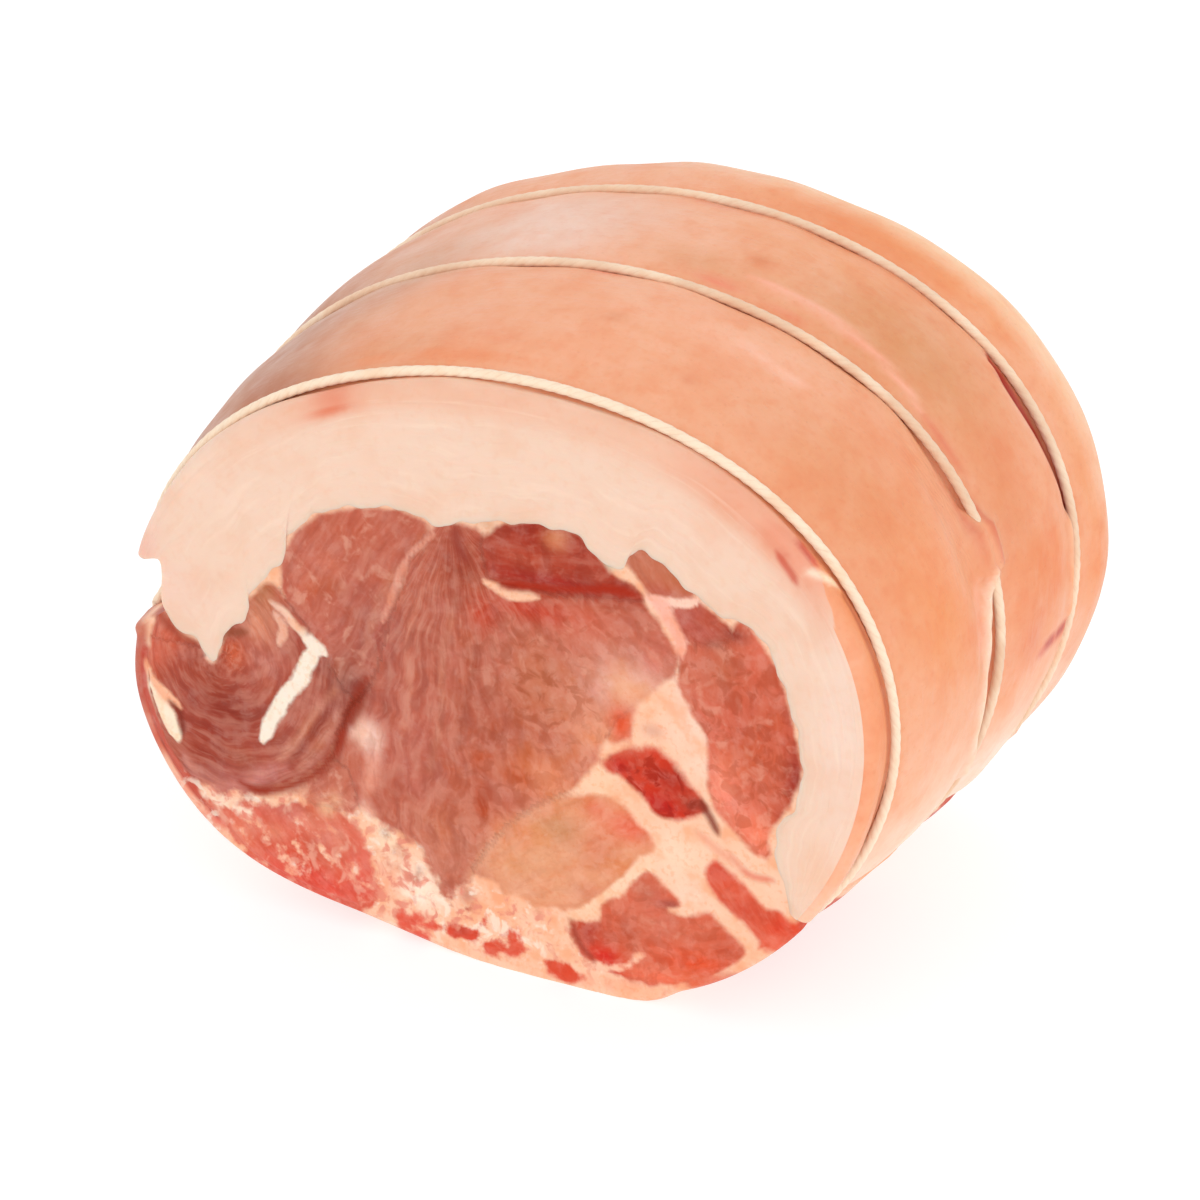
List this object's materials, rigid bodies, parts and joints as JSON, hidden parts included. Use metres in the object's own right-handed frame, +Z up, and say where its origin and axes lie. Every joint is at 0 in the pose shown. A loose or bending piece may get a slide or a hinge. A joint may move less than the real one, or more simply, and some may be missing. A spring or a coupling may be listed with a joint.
{
  "type": "raw pork joint",
  "caption": "Raw boneless pork joint, rolled with rind and a thick fat cap over marbled lean, tied round with cotton twine and cut flat at the front.",
  "frame": {"origin": "centre of the bounding box, at the height of the surface that the joint rests on", "axes": "+Z up; -Y out of the large cut face, so that Y runs along the roll; +X to the right as seen from in front of the cut face"},
  "size_m": [0.1606, 0.0976, 0.1201],
  "materials": {
    "fat_and_rind": "satin",
    "lean_pork": "moist, satin",
    "cotton_twine": "matte"
  },
  "bodies": {
    "root": {"fat_cap": "fat_and_rind", "lean": "lean_pork", "string_front": "cotton_twine", "string_middle": "cotton_twine", "string_back": "cotton_twine"}
  },
  "joints": []
}
